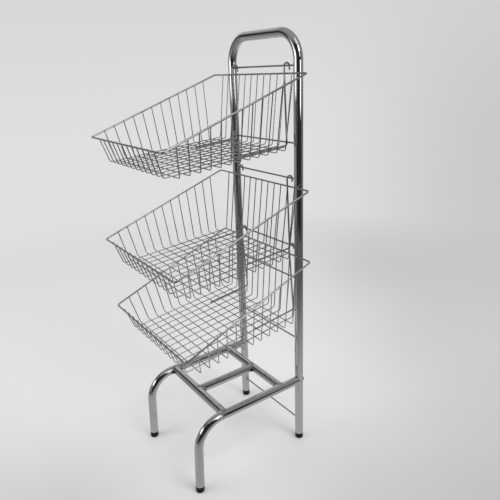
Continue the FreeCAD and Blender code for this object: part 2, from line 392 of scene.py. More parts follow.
chrome = {
    "plate": (0.56, 0.565, 0.575, 1), "haze": (0.47, 0.475, 0.485, 1),
    # scale: the near-black of painted shade in the corners under each joint
    "dull": (0.27, 0.262, 0.25, 1), "scale": (0.02, 0.019, 0.018, 1), "scaleFrom": (1.0, 1.5),
    "polish": 0.02, "hazeRoughness": 0.12, "spotRoughness": 0.42,
    "handling": (9.0, 4.0, 0.6), "hazeFrom": (0.50, 0.78), "hazeShare": 0.7,
    "grime": (420.0, 3.0, 0.6), "burnt": (0.6, 0.8), "spotDepth": 0.15,
    "drawLines": (2600.0, 2600.0, 18.0), "drawNoise": (1.0, 3.0, 0.6),
    "drawDepth": 0.006, "drawnLeast": 0.4,
    "waves": (60.0, 60.0, 9.0), "relief": 0.00028,
}


def chromeMaterial(name, finish):
    # Bright plate over drawn steel: long faint waves and draw marks along the bar, hazy patches from
    # handling, dull spots where it was welded or rubs, and near-black painted shade in the corners under a
    # weld.
    f = Finish(bpy.data.materials.new(name))
    around = f.attribute("around", "Vector")
    spot = f.attribute("spot", "Fac")
    place = f.objectPlace()
    handled = f.noise(place, *finish["handling"]).between(*finish["hazeFrom"])
    drawn = f.noise(f.stretched(around, finish["drawLines"]), *finish["drawNoise"])
    grime = f.noise(place, *finish["grime"])
    burntLeast, burntGrime = finish["burnt"]
    burnt = f.node("Clamp", {}, {0: spot * (burntLeast + burntGrime * grime)})
    colour = f.mix(handled * finish["hazeShare"], finish["plate"], finish["haze"])
    colour = f.mix(burnt, colour, finish["dull"])
    # painted shade: near-black where the spot passes 1, in the corners under each joint
    colour = f.mix(spot.between(*finish["scaleFrom"]), colour, finish["scale"])
    hazy = (finish["hazeRoughness"] - finish["polish"]) * handled * (finish["drawnLeast"] + drawn)
    rough = finish["polish"] + hazy + (finish["spotRoughness"] - finish["polish"]) * burnt
    waves = f.noise(f.stretched(around, finish["waves"]), 1.0, 1.0)
    relief = waves + drawn * finish["drawDepth"] + grime * spot * finish["spotDepth"]
    return f.principled(colour, rough, finish["relief"], relief, {"Metallic": 1.0})


steel = {
    "turned": (0.42, 0.41, 0.40, 1), "stained": (0.26, 0.25, 0.235, 1),
    "roughness": 0.28, "uneven": 0.2,
    "latheMarks": (40.0, 2600.0, 40.0),
    "stains": (160.0, 4.0, 0.6), "stainedFrom": (0.5, 0.75),
    "relief": 0.00002,
}


def steelMaterial(name, finish):
    # Bare turned steel: fine rings from the lathe round the bore, and a few stains.
    f = Finish(bpy.data.materials.new(name))
    place = f.objectPlace()
    marks = f.noise(f.stretched(place, finish["latheMarks"]), 1.0)
    stains = f.noise(place, *finish["stains"]).between(*finish["stainedFrom"])
    colour = f.mix(stains, finish["turned"], finish["stained"])
    rough = finish["roughness"] + finish["uneven"] * marks + finish["uneven"] * stains
    return f.principled(colour, rough, finish["relief"], marks, {"Metallic": 1.0})


plastic = {
    "black": (0.004, 0.004, 0.004, 1), "dust": (0.022, 0.021, 0.020, 1),
    "dustFrom": (0.0005, 0.006), "dustShare": 0.6,
    "roughness": 0.26, "grainRoughness": 0.12, "dustRoughness": 0.3,
    "specular": 0.2,
    "grain": 1500.0,
    "scuffs": (260.0, 260.0, 900.0), "scuffNoise": (1.0, 4.0, 0.7),
    "scuffedFrom": (0.45, 0.7), "scuffDepth": 0.8,
    "relief": 0.00003,
}


def plasticMaterial(name, finish):
    # Moulded black plastic: fine grain all over, dust and scuffs close to the floor.
    f = Finish(bpy.data.materials.new(name))
    place = f.objectPlace()
    height = f.node("SeparateXYZ", {}, {0: place}, "Z")
    grain = f.noise(place, finish["grain"])
    scuff = f.noise(f.stretched(place, finish["scuffs"]), *finish["scuffNoise"])
    worn = (1 - height.between(*finish["dustFrom"])) * scuff.between(*finish["scuffedFrom"])
    worn = worn * finish["dustShare"]
    colour = f.mix(worn, finish["black"], finish["dust"])
    rough = finish["roughness"] + finish["grainRoughness"] * grain + finish["dustRoughness"] * worn
    relief = grain + finish["scuffDepth"] * scuff
    return f.principled(colour, rough, finish["relief"], relief, {"Specular IOR Level": finish["specular"]})


wirePlate = {"plate": (0.45, 0.453, 0.46, 1), "haze": (0.39, 0.392, 0.40, 1), "polish": 0.07,
             "hazeRoughness": 0.18, "waves": (300.0, 300.0, 25.0), "relief": 0.00008}
weldPlate = {"plate": (0.36, 0.355, 0.35, 1), "polish": 0.22, "hazeRoughness": 0.34}
boltPlate = {"plate": (0.50, 0.50, 0.49, 1), "polish": 0.20, "hazeRoughness": 0.32}
tubeChrome = chromeMaterial("tubeChrome", chrome)
wireChrome = chromeMaterial("wireChrome", {**chrome, **wirePlate})
weldChrome = chromeMaterial("weldChrome", {**chrome, **weldPlate})
boltPlating = chromeMaterial("boltPlating", {**chrome, **boltPlate})
insertSteel = steelMaterial("insertSteel", steel)
footPlastic = plasticMaterial("footPlastic", plastic)
print("finishes ready")

# Frame. The hoop's box gives the axes of the uprights and of the top bar.

tube = {
    "radius": 0.0127,
    "bore": 0.0112,
    "sides": 56, "arcDegrees": 4, "runStep": 0.03,
    "copeReach": 0.035,
    "jointReach": 0.018, "jointRings": 17,
    "ringSpread": 0.001,
}
# reach and strength of the dull spot about each kind of place
dull = {
    "bead": (0.0045, 0.55),
    # scale: not a dull spot but near-black painted shade in the corners under each joint
    "scale": (0.0062, 3.0),
    "rodOnTube": (0.005, 0.5),
    "rodEnd": (0.005, 0.6),
    "worn": (0.004, 0.45),
    "meshWeld": (0.0018, 0.4),
    "rimWeld": (0.0022, 0.5),
    "hangerWeld": (0.003, 0.6),
}
hoopLow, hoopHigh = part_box("upright_hoop")
halfSpacing = hoopHigh.x - tube["radius"]
uprightY = (hoopHigh.y + hoopLow.y) / 2
topAxis = hoopHigh.z - tube["radius"]
frontCrossY, railHeight = middleOf("front_cross_tube")[1:]
rearCrossY = middleOf("rear_cross_tube")[1]
rodY = middleOf("top_hook_rod")[1]
acrossX, acrossY, upZ = np.eye(3)
chance = np.random.default_rng(11)


def sidePoint(side, y, z=railHeight):
    # a point in the plane of one upright and its rail, or midway between them when side is 0
    return np.array([side * halfSpacing, y, z])


def saddle(across):
    # how far from the other tube's axis a coped end stands, for its offset across that tube
    return np.sqrt(np.maximum(tube["radius"] ** 2 - across ** 2, 0))


def pipePart(line, lengths, side, cutAxis=None, cutStart=False, cutEnd=False):
    # A tube with its bore. A coped end's wall starts saddle(offset) further on, which fades out over
    # the cope's reach.
    places, ahead = alongLine(line, lengths)
    spokes = spokesOf(ahead, side, tube["sides"])
    startFade = np.clip(1 - lengths / tube["copeReach"], 0, 1) * cutStart
    endFade = np.clip(1 - (lineLength(line) - lengths) / tube["copeReach"], 0, 1) * cutEnd
    walls = []
    for radius in (tube["radius"], tube["bore"]):
        grid = places[:, None, :] + spokes * radius
        if cutAxis is not None:
            shift = saddle((spokes * radius) @ cutAxis) * (startFade - endFade)[:, None]
            grid = grid + ahead[:, None, :] * shift[:, :, None]
        walls.append(grid)
    radii = np.repeat([tube["radius"], tube["bore"]], len(lengths))[:, None]
    both = np.concatenate([lengths, lengths[::-1]])[:, None]
    return ringPart(np.concatenate([walls[0], walls[1][::-1]]), radii, both, loop=True)


rods = "top_hook_rod top_support_rod middle_hook_rod middle_support_rod lower_hook_rod lower_support_rod"
rodHeights = {rod: middleOf(rod)[2] for rod in [*rods.split(), "low_stretcher_rod"]}
hoop = {"bend": 0.070, "footTop": hoopLow.z, "markSpread": 0.006}


def uprightHoop():
    corners = ((-1, hoop["footTop"]), (-1, topAxis), (1, topAxis), (1, hoop["footTop"]))
    line = bentLine([sidePoint(side, uprightY, z) for side, z in corners], [hoop["bend"]] * 2)
    joints = [sidePoint(side, uprightY, z) for side in (-1, 1) for z in (*rodHeights.values(), railHeight)]
    stops = ringStops(line, tube, lengthsAt(line, np.array(joints)), hoop["markSpread"])
    return pipePart(line, stops, acrossY)


rail = {"reach": 0.362, "footReach": 0.371, "bend": 0.078}


def railPlaces(side):
    # rear end on the upright's axis, the corner, the point on the floor and the way up the leg
    corner = sidePoint(side, uprightY - rail["reach"])
    floor = sidePoint(side, uprightY - rail["footReach"], 0)
    return sidePoint(side, uprightY), corner, floor, unit(corner - floor)


def closeRings(marks):
    # close rings about each joint, where the finish changes
    near = np.linspace(-tube["jointReach"], tube["jointReach"], tube["jointRings"])
    return (np.asarray(marks)[:, None] + near).ravel()


def sideRail(side):
    rear, corner, floor, up = railPlaces(side)
    line = bentLine([rear, corner, floor + up * hoop["footTop"]], [rail["bend"]])
    joints = np.array([sidePoint(side, y) for y in (frontCrossY, rearCrossY)])
    stops = ringStops(line, tube, closeRings(lengthsAt(line, joints)), tube["ringSpread"])
    return pipePart(line, stops, acrossX, acrossX, cutStart=True)


def copedTube(start, end, across, joints=()):
    line = bentLine([start, end], [])
    marks = closeRings([tube["radius"], lineLength(line) - tube["radius"], *joints])
    stops = ringStops(line, tube, marks, tube["ringSpread"])
    return pipePart(line, stops, across, upZ, cutStart=True, cutEnd=True)


crossRod = {"radius": 0.0025, "sides": 20, "sunk": 0.0004, "bevel": 0.0002, "runStep": 0.02}
wornSpread = 0.003


def rodPart(height, worn):
    reach = halfSpacing - float(saddle(rodY - uprightY)) + crossRod["sunk"]
    line = bentLine([(-reach, rodY, height), (reach, rodY, height)], [])
    stops = ringStops(line, crossRod, np.asarray(worn) + reach, wornSpread)
    return barPart(line, stops, crossRod, acrossY)


weld = {
    "beadRadius": 0.0016, "beadSides": 10,
    "girth": 7,  # of a coped end, in radii of the tube
    "ripple": 0.0022,
    "rippleSteps": 4, "rippleDepth": 0.16,
    "wander": 0.05,
    "cornerEase": 0.05,
    # how far below the tube's middle the painted corner shade stands
    "scaleAngle": 0.12,
    "filletReach": 0.0020, "filletRise": 0.0021, "filletSunk": 0.0003, "filletSides": 24,
    "filletRings": (1.15, 1.0, 0.7, 0.42, 0.2, 0.0, -0.15),
    "filletLobes": (0.16, 0.08),
}


def copeBead(host, hostAxis, inward):
    # Bead round a coped end: host + R (h cos a + z sin a) + inward R |cos a|, its corner eased, with
    # its radius in ripples: bead * (1 + depth * (saw - 1/2)).
    radius = tube["radius"]
    girth = weld["girth"] * radius
    ripples = round(girth / weld["ripple"])
    count = ripples * weld["rippleSteps"]
    angle = turns(count)[:, None]
    spread = np.sqrt(np.cos(angle) ** 2 + weld["cornerEase"] ** 2)
    outward = hostAxis * np.cos(angle) + upZ * np.sin(angle)
    places = host + radius * (outward + inward * spread)
    ahead = unit(np.roll(places, -1, 0) - np.roll(places, 1, 0))
    saw = np.tile(np.arange(weld["rippleSteps"]) / weld["rippleSteps"], ripples)
    wander = chance.normal(0, weld["wander"], ripples).repeat(weld["rippleSteps"])
    radii = weld["beadRadius"] * (1 + weld["rippleDepth"] * (saw - 0.5) + wander)
    grid = places[:, None, :] + spokesOf(ahead, outward, weld["beadSides"]) * radii[:, None, None]
    lengths = girth * np.arange(count) / count
    return ringPart(grid, radii[:, None], lengths[:, None], loop=True), places


def rodFillet(side, height):
    # Fillet where a rod meets an upright: over the tube's surface it rises by rise * (1 - q) squared,
    # q = (r - rod) / reach, and two and five lobes make it uneven round the rod.
    sides = weld["filletSides"]
    angle = turns(sides)
    phase = chance.uniform(0, 2 * math.pi, 2)
    two, five = weld["filletLobes"]
    uneven = 1 + two * np.sin(2 * angle + phase[0]) + five * np.sin(5 * angle + phase[1])
    q = column(weld["filletRings"])
    radii = crossRod["radius"] + weld["filletReach"] * q * uneven
    rise = weld["filletRise"] * np.maximum(1 - q, 0) ** 2 - weld["filletSunk"] * (q > 1)
    inward = -side * acrossX
    spoke = spokesOf(inward[None], acrossY, sides)[0]
    heights = saddle(rodY - uprightY + radii * spoke[:, 1]) + rise
    return turnedPart(sidePoint(side, rodY, height), inward, acrossY, radii, heights, sides)


def hangersX(name):
    return [middleOf(name + "_basket_" + side + "_hanger")[0] for side in ("left", "right")]


def makeFrame():
    top, middle, bottom = (hangersX(name) for name in ("top", "middle", "bottom"))
    worn = {
        "top_hook_rod": top,
        "top_support_rod": top,
        "middle_hook_rod": middle,
        "middle_support_rod": middle + bottom,
        "lower_hook_rod": bottom,
    }
    joints = [(sidePoint(side, y), acrossY, -side * acrossX)
              for side in (-1, 1) for y in (frontCrossY, rearCrossY)]
    joints += [(sidePoint(0, y), acrossX, inward)
               for y, inward in ((frontCrossY, acrossY), (rearCrossY, -acrossY))]
    beads, beadPlaces = zip(*[copeBead(*joint) for joint in joints])
    rodEnds = np.array([(side * (halfSpacing - tube["radius"]), rodY, z)
                        for side in (-1, 1) for z in rodHeights.values()])
    # painted shade in the corners under each joint, just below the tube's middle
    c, s = math.cos(weld["scaleAngle"]), math.sin(weld["scaleAngle"])
    shadedCorners = np.array([host + tube["radius"] * (side * hostAxis * c - upZ * s + inward * c)
                       for host, hostAxis, inward in joints for side in (-1, 1)])
    cornerShadeSpots = [(shadedCorners, *dull["scale"])]
    tubeSpots = [(np.concatenate(beadPlaces), *dull["bead"]), (rodEnds, *dull["rodOnTube"]), *cornerShadeSpots]
    tubes = {"upright_hoop": uprightHoop(), "left_side_rail": sideRail(-1), "right_side_rail": sideRail(1)}
    for name, y in (("front", frontCrossY), ("rear", rearCrossY)):
        tubes[name + "_cross_tube"] = copedTube(sidePoint(-1, y), sidePoint(1, y), acrossY, [halfSpacing])
    tubes["centre_tube"] = copedTube(sidePoint(0, frontCrossY), sidePoint(0, rearCrossY), acrossX)
    for node, part in tubes.items():
        makeNode(node, [part], tubeChrome, "stand", tubeSpots)
    makePiece("frameWelds", beads, weldChrome, "stand", (), cornerShadeSpots)
    for rod, height in rodHeights.items():
        touched = worn.get(rod, [])
        spots = [(rodEnds, *dull["rodEnd"])]
        if touched:
            spots.append(([(x, rodY, height) for x in touched], *dull["worn"]))
        makeNode(rod, [rodPart(height, touched)], wireChrome, "stand", spots)
    fillets = [rodFillet(side, z) for side in (-1, 1) for z in rodHeights.values()]
    makePiece("rodWelds", fillets, weldChrome, "stand")


makeFrame()
print("frame built")

# Feet and fasteners

foot = {
    "edge": 0.0025, "edgeRings": 7,
    "recess": 0.0008, "recessRadius": 0.0070,
    "shoulderEase": 0.0003,
    "stemRadius": 0.01105, "stemLength": 0.022,
    "tip": 0.0015,
    "ribs": 4, "ribPitch": 0.0050, "ribDepth": 0.0013,
    "ribPlaces": (0.0022, 0.0030, 0.0044),
    "sides": 56,
}


def footPart(floor, up):
    # Turned about the leg's axis, but level at the floor: between level, z = h, and square to the
    # axis, a ring at height h takes the share h / the foot's height.
    height, wide, stem, ease = hoop["footTop"], tube["radius"], foot["stemRadius"], foot["shoulderEase"]
    profile = [(foot["recessRadius"] - foot["recess"], foot["recess"]), (foot["recessRadius"], 0.0)]
    for t in np.linspace(0, math.pi / 2, foot["edgeRings"]):
        profile.append((wide - foot["edge"] * (1 - math.sin(t)), foot["edge"] * (1 - math.cos(t))))
    profile += [(wide, height - ease), (wide - ease, height), (stem, height)]
    low = stem - foot["ribDepth"]
    ribEnd, grooveStart, grooveEnd = foot["ribPlaces"]
    for k in range(foot["ribs"]):
        base = height + foot["ribPitch"] * k
        profile += [(stem, base + ribEnd), (low, base + grooveStart), (low, base + grooveEnd),
                    (stem, base + foot["ribPitch"])]
    top = height + foot["stemLength"]
    profile += [(stem, top), (stem - foot["tip"], top + foot["tip"])]
    radii, level = (column(values) for values in zip(*profile))
    spoke = spokesOf(up[None], acrossX, foot["sides"])[0]
    share = np.clip(level / height, 0, 1)
    heights = (1 - share) * (level - spoke[:, 2] * radii) / up[2] + share * level
    return turnedPart(floor, up, acrossX, radii, heights, foot["sides"])


bolt = {
    "shank": 0.004,
    "length": 0.0506,
    "tip": 0.0008,
    "headRadius": 0.007, "headHeight": 0.0045,
    "domeShares": (0.98, 0.93, 0.85, 0.76, 0.66, 0.56),
    "socketFlat": 0.0025, "socketDepth": 0.0026, "socketEase": 0.0003,
    "sides": 48,
}
washer = {"radius": 0.0085, "hole": 0.0043, "rim": 0.0012, "ease": 0.0003, "sides": 48}


def boltPart(side):
    # Turned about the bolt's axis. The dome's height is head - dome + sqrt(dome^2 - r^2); the hexagon
    # socket's radius is flat / cos(angle from the nearest flat).
    head, wide, shank, ease = bolt["headHeight"], bolt["headRadius"], bolt["shank"], bolt["socketEase"]
    domeRadius = (wide ** 2 + head ** 2) / (2 * head)
    hexagon = bolt["socketFlat"] / np.cos(turns(bolt["sides"]) % (math.pi / 3) - math.pi / 6)
    circle = np.ones(bolt["sides"])

    def onDome(radius):
        return radius, head - domeRadius + np.sqrt(domeRadius ** 2 - radius ** 2)

    rings = [(shank - bolt["tip"], -bolt["length"]), (shank, bolt["tip"] - bolt["length"]), (shank, 0.0),
             (wide, 0.0)]
    rings = [(radius * circle, height * circle) for radius, height in rings]
    rings += [onDome(wide * share * circle) for share in bolt["domeShares"]]
    rings += [onDome(hexagon + ease), (hexagon, onDome(hexagon)[1] - ease),
              (hexagon, (head - bolt["socketDepth"]) * circle)]
    base = sidePoint(side, uprightY + tube["radius"] + washer["rim"])
    radii, heights = (np.array(rows) for rows in zip(*rings))
    return turnedPart(base, acrossY, acrossX, radii, heights, bolt["sides"])


def washerPart(side):
    # Flat behind and hollow in front, where its height is the saddle of the upright.
    wide, hole, ease = washer["radius"], washer["hole"], washer["ease"]
    out = spokesOf(acrossY[None], acrossX, washer["sides"])[0][:, 0]
    flat = tube["radius"] + washer["rim"] + 0 * out
    radii = column([wide, wide, wide - ease, hole, hole])
    heights = np.array([saddle(wide * out), flat - ease, flat, flat, saddle(hole * out)])
    base = sidePoint(side, uprightY)
    return turnedPart(base, acrossY, acrossX, radii, heights, washer["sides"], loop=True)


def makeFittings():
    for name, side in (("left", -1), ("right", 1)):
        floor, up = railPlaces(side)[2:]
        for end, place, way in (("front", floor, up), ("rear", sidePoint(side, uprightY, 0), upZ)):
            node = end + "_" + name + "_foot"
            makeNode(node, [footPart(place, way)], footPlastic, "stand")
    for node, part in (("rail_bolts", boltPart), ("rail_washers", washerPart)):
        makeNode(node, [part(-1), part(1)], boltPlating, "stand")
    inserts = frame["nodes"]["rail_inserts"]
    inserts.data.materials.clear()
    inserts.data.materials.append(insertSteel)


makeFittings()
print("feet and fasteners built")

# Baskets, each in its own frame: the hook's centre at the origin, the hanger legs upright

meshWire = {
    "radius": 0.0014,
    "bend": 0.007,
    "end": 0.001,
    "bevel": 0.0002,
    "sides": 12, "arcDegrees": 10, "runStep": 0.04,
    "count": 12,
    "longPitch": 0.0286, "frontPitch": 0.030, "backPitch": 0.0288,
    "crossPitch": 0.0278, "crossMargin": 0.0271,
    "crossRimPitch": 0.02975, "crossRimMargin": 0.0376,
    "strayPlace": 0.0003, "strayEnd": 0.0005,
}
basketFloor = {"width": 0.3687, "front": 0.4015, "back": 0.0449, "frontDrop": 0.2158, "backDrop": 0.1971}
hanger = {
    "radius": 0.0024,
    "hookRadius": 0.0089, "hookTail": 0.010,
    "legBend": 0.006,
    "armWires": 4, "armEnd": 0.006,
    "bevel": 0.0004,
    "sides": 18, "arcDegrees": 7, "runStep": 0.02,
}
rim = {
    "radius": 0.0024,
    "width": 0.425,
    "reach": 0.424,
    "backDrop": 0.0168, "frontDrop": 0.1494,
    "corner": 0.007,
    "butt": 0.00035, "buttReach": 0.001, "buttRings": (0.5, 1, 1.5, 2.5),
    "sides": 18, "arcDegrees": 6, "runStep": 0.03,
}
nugget = {
    "mesh": (0.0020, 0.0020, 0.0013),
    "rim": (0.0021, 0.0024, 0.0021),
    "arm": (0.0024, 0.0026, 0.0016),
    "sides": 8,
}
rimBack = hanger["hookRadius"] + hanger["radius"] + rim["radius"]
floorSlope = math.atan2(basketFloor["frontDrop"] - basketFloor["backDrop"],
                        basketFloor["front"] - basketFloor["back"])
floorUp = np.array([0, -math.sin(floorSlope), math.cos(floorSlope)])
floorAhead = np.cross(floorUp, acrossX)
ballTurn = math.pi * column([1, 2, 3]) / 4
wireBall = turnedPart(np.zeros(3), upZ, acrossX, np.sin(ballTurn), -np.cos(ballTurn), nugget["sides"],
                      tips=(-1, 1))


def floorPoint(reach, x, above):
    drop = basketFloor["backDrop"] + (reach - basketFloor["back"]) * math.tan(floorSlope)
    return np.array([x, -reach, -drop]) + floorUp * above


def rimPoint(reach, x):
    share = (reach - rimBack) / (rim["reach"] - rimBack)
    return np.array([x, -reach, -rim["backDrop"] - share * (rim["frontDrop"] - rim["backDrop"])])


def leanPast(out, rise):
    # angle off upright of a wire that passes just inside the rim
    return math.atan2(out, rise) - math.asin((rim["radius"] + meshWire["radius"]) / math.hypot(out, rise))


def touchPoint(onWire, onRim):
    # where the wire meets the rim, between their centre lines
    return onWire + (onRim - onWire) * meshWire["radius"] / (meshWire["radius"] + rim["radius"])


def pastRim():
    return meshWire["end"] - meshWire["strayEnd"] * chance.uniform(0, 1)


def wallTop(bottom, out, onRim, x):
    # top end of a front or back wall wire, and its weld to the rim
    lean = leanPast(abs(onRim[1] - bottom[1]), onRim[2] - bottom[2])
    away = np.array([0, out * math.sin(lean), math.cos(lean)])
    beside = bottom + away * float((onRim - bottom)[1:] @ away[1:])
    beside[0] = x
    return beside + away * pastRim(), touchPoint(beside, np.array([x, onRim[1], onRim[2]]))


def longWire(place):
    x = place * meshWire["longPitch"] + meshWire["strayPlace"] * chance.uniform(-1, 1)
    front = floorPoint(basketFloor["front"], x, meshWire["radius"])
    back = floorPoint(basketFloor["back"], x, meshWire["radius"])
    frontTop, frontWeld = wallTop(front, -1, rimPoint(rim["reach"], 0), place * meshWire["frontPitch"])
    backTop, backWeld = wallTop(back, 1, rimPoint(rimBack, 0), place * meshWire["backPitch"])
    return x, bentLine([frontTop, front, back, backTop], [meshWire["bend"]] * 2), [frontWeld, backWeld]


def crossReach(i):
    return basketFloor["front"] - meshWire["crossMargin"] - i * meshWire["crossPitch"]


def crossWire(i):
    reach = crossReach(i) + meshWire["strayPlace"] * chance.uniform(-1, 1)
    corner = floorPoint(reach, basketFloor["width"] / 2, -meshWire["radius"])
    rimReach = rim["reach"] - meshWire["crossRimMargin"] - i * meshWire["crossRimPitch"]
    onRim = rimPoint(rimReach, rim["width"] / 2)
    rimUp = unit(np.cross(rimPoint(rim["reach"], 0) - rimPoint(rimBack, 0), acrossX))
    wall = (onRim - corner) * [0, 1, 1]
    rise = abs(float(wall @ rimUp))
    out = math.tan(leanPast(onRim[0] - corner[0], rise)) * rise
    beside = corner + wall + acrossX * out
    away = unit(beside - corner)
    ends = []
    welds = []
    for side in (-1, 1):
        flip = np.array([side, 1, 1])
        ends.append((beside + away * pastRim()) * flip)
        welds.append(touchPoint(beside, onRim) * flip)
    line = bentLine([ends[0], corner * [-1, 1, 1], corner, ends[1]], [meshWire["bend"]] * 2)
    return reach, line, welds


def wireParts(wires, side, crossings):
    # rings stand close at each weld: at both rims, and where the wire's floor run is crossed
    parts = []
    for _, line, welds in wires:
        level = line[2]
        own = crossings[np.abs((crossings - level["at"]) @ side) < meshWire["radius"]]
        marks = np.concatenate([lengthsAt(line, np.array(welds)), lengthsAt(line, own)])
        parts.append(barPart(line, ringStops(line, meshWire, marks), meshWire, side))
    return parts


def rimPart(welds):
    # A closed loop. Its ends are butt welded behind, where the radius swells by
    # butt * exp(-(length / reach) squared).
    half = rim["width"] / 2
    corners = [rimPoint(rimBack, half), rimPoint(rim["reach"], half), rimPoint(rim["reach"], -half),
               rimPoint(rimBack, -half)]
    behind = rimPoint(rimBack, 0)
    line = bentLine([behind, *corners, behind], [rim["corner"]] * 4)
    total = lineLength(line)
    near = rim["buttReach"] * np.array(rim["buttRings"])
    marks = np.concatenate([lengthsAt(line, welds), near, total - near])
    lengths = ringStops(line, rim, marks)[:-1]
    places, ahead = alongLine(line, lengths)
    fromButt = np.minimum(lengths, total - lengths)
    radii = (rim["radius"] + rim["butt"] * np.exp(-(fromButt / rim["buttReach"]) ** 2))[:, None]
    grid = places[:, None, :] + spokesOf(ahead, upZ, rim["sides"]) * radii[:, :, None]
    return ringPart(grid, radii, lengths[:, None], loop=True)


def hangerPart(x):
    hook = hanger["hookRadius"]
    under = -(2 * meshWire["radius"] + hanger["radius"])
    armReach = crossReach(meshWire["count"] - hanger["armWires"]) + hanger["armEnd"]
    line = bentLine([(x, hook, -hanger["hookTail"]), (x, hook, hook), (x, -hook, hook),
                     floorPoint(hook, x, 0) + upZ * under / math.cos(floorSlope),
                     floorPoint(armReach, x, under)], [hook, hook, hanger["legBend"]])
    return barPart(line, ringStops(line, hanger), hanger, acrossX)


def basketPlace(name):
    # The tilt is the lift's, and the hooks' outermost points give their centre.
    joint = next(j for j in frame["joints"] if j["child"] == name + "_basket")
    tilt = math.atan2(-joint["axis"][1], joint["axis"][2])
    leftX, rightX = hangersX(name)
    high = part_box(name + "_basket_left_hanger")[1]
    outer = hanger["hookRadius"] + hanger["radius"]
    centre = ((leftX + rightX) / 2, high.y - outer * math.cos(tilt) - hanger["hookTail"] * math.sin(tilt),
              high.z - outer)
    return np.array(Matrix.Translation(centre) @ Matrix.Rotation(tilt, 4, "X")), (rightX - leftX) / 2


def makeBasket(name):
    place, hangerX = basketPlace(name)
    body = name + "_basket"
    count = meshWire["count"]
    longWires = [longWire(i - (count - 1) / 2) for i in range(count)]
    crossWires = [crossWire(i) for i in range(count)]
    crossings = np.array([floorPoint(reach, x, 0) for x, *_ in longWires for reach, *_ in crossWires])
    rimWelds = np.array([point for *_, welds in longWires + crossWires for point in welds])
    armWelds = np.array([floorPoint(crossReach(i), side * hangerX, -2 * meshWire["radius"])
                         for i in range(count - hanger["armWires"], count) for side in (-1, 1)])
    legWelds = np.array([(side * hangerX, -hanger["hookRadius"] - hanger["radius"], -rim["backDrop"])
                         for side in (-1, 1)])
    welds = {"meshWeld": crossings, "rimWeld": rimWelds, "hangerWeld": np.concatenate([armWelds, legWelds])}
    spots = [(moved(places, place), *dull[kind]) for kind, places in welds.items()]
    pieces = {
        "_long_wires": wireParts(longWires, acrossX, crossings),
        "_cross_wires": wireParts(crossWires, acrossY, crossings),
        "_rim": [rimPart(np.concatenate([rimWelds, legWelds]))],
        "_left_hanger": [hangerPart(-hangerX)],
        "_right_hanger": [hangerPart(hangerX)],
    }
    for node, parts in pieces.items():
        parts = [placed(part, place) for part in parts]
        makeNode(body + node, parts, wireChrome, body, spots)
    square, level = np.eye(3), [acrossX, floorAhead, floorUp]
    nuggets = [(crossings, level, "mesh"), (rimWelds, square, "rim"), (armWelds, level, "arm"),
               (legWelds, square, "rim")]
    parts = [placed(repeated(wireBall, places, axes, nugget[size]), place) for places, axes, size in nuggets]
    makePiece(name + "BasketWelds", parts, weldChrome, body)


for name in ("top", "middle", "bottom"):
    makeBasket(name)
    print(name, "basket built")

# Camera: the photograph's place, turn and lens, for a frame 500 pixels wide

camera = {
    "place": (1.18204, -0.68780, 1.12556),
    "yaw": 54.93, "pitch": -19.44, "roll": -2.04,
    "focalPixels": 510.11, "framePixels": 500,
    "sensor": 36.0,
    "clipStart": 0.01,
}
yaw, pitch, roll = (math.radians(camera[turn]) for turn in ("yaw", "pitch", "roll"))
towardCamera = np.array([math.sin(yaw), -math.cos(yaw)])
cameraRight = np.array([math.cos(yaw), math.sin(yaw)])


def makeCamera():
    forward = np.array([*(-towardCamera * math.cos(pitch)), math.sin(pitch)])
    right = np.array([*cameraRight, 0.0])
    up = np.cross(right, forward)
    turn = np.eye(4)
    turn[:3, 0] = right * math.cos(roll) + up * math.sin(roll)
    turn[:3, 1] = up * math.cos(roll) - right * math.sin(roll)
    turn[:3, 2] = -forward
    turn[:3, 3] = camera["place"]
    data = bpy.data.cameras.new("camera")
    data.sensor_width = camera["sensor"]
    data.lens = camera["focalPixels"] * camera["sensor"] / camera["framePixels"]
    data.clip_start = camera["clipStart"]
    view = linked("camera", data)
    view.matrix_world = Matrix(turn)
    bpy.context.scene.camera = view


# Studio: a pale sweep under soft light. Only reflections see the room that stands round it, a painted
# reflection that lights nothing and is dark on the camera's side. Azimuths are degrees to the right
# of the camera's side.

studio = {
    "fill": (0.80, 0.80, 0.80, 1),
    "pale": 0.740,
    # painted shade in the background: darker to the right and higher up
    "paleRight": 0.585, "rightFrom": (0.10, 0.46),
    "paleHigh": 0.660, "highShare": 0.7, "highFrom": (-0.14, 0.16),
    # ceiling and its lamp patch: painted reflection, what glossy rays see overhead; the patch lights nothing
    "ceiling": 0.40, "ceilingLamp": 1.2,
    "lampAzimuth": 38, "lampEdge": (28, 40), "lampFoot": (0.67, 0.70), "lampTop": (0.93, 0.97),
}
room = {
    "radius": 2.2, "height": 3.6, "sides": 96,
    "dark": 0.03,
    "backdrop": 0.60, "backdropFrom": (124, 140), "backdropTop": (3.1, 3.5),
    "leftFrom": (42, 66),
    "leftLow": 0.35, "leftShade": (0.65, 1.35), "leftMiddle": 0.04,
    "leftHigh": 0.30, "leftHighFrom": (2.0, 2.3),
    "rightFrom": (58, 74),
    "rightLow": 0.19, "rightHigh": 0.34, "rightHighFrom": (0.8, 1.1),
    # painted reflections of a strip light, a softbox, a lamp and a reflector: glowing bands that only glossy
    # rays see and that light nothing
    "lights": {
        "strip": {"azimuth": 49, "edge": (6, 9), "foot": (0.80, 0.92), "top": (1.20, 1.34), "level": 3.2},
        "softbox": {"azimuth": -73, "edge": (19, 27), "foot": (0.88, 1.0), "top": (1.55, 2.0), "level": 2.2},
        "lamp": {"azimuth": 44, "edge": (14, 22), "foot": (2.15, 2.30), "top": (3.2, 3.6), "level": 2.6},
        "reflector": {"azimuth": 42, "edge": (3.5, 6), "foot": (1.5, 1.65), "top": (2.15, 2.3), "level": 3},
    },
}


def blend(low, high, share):
    return low * (1 - share) + high * share


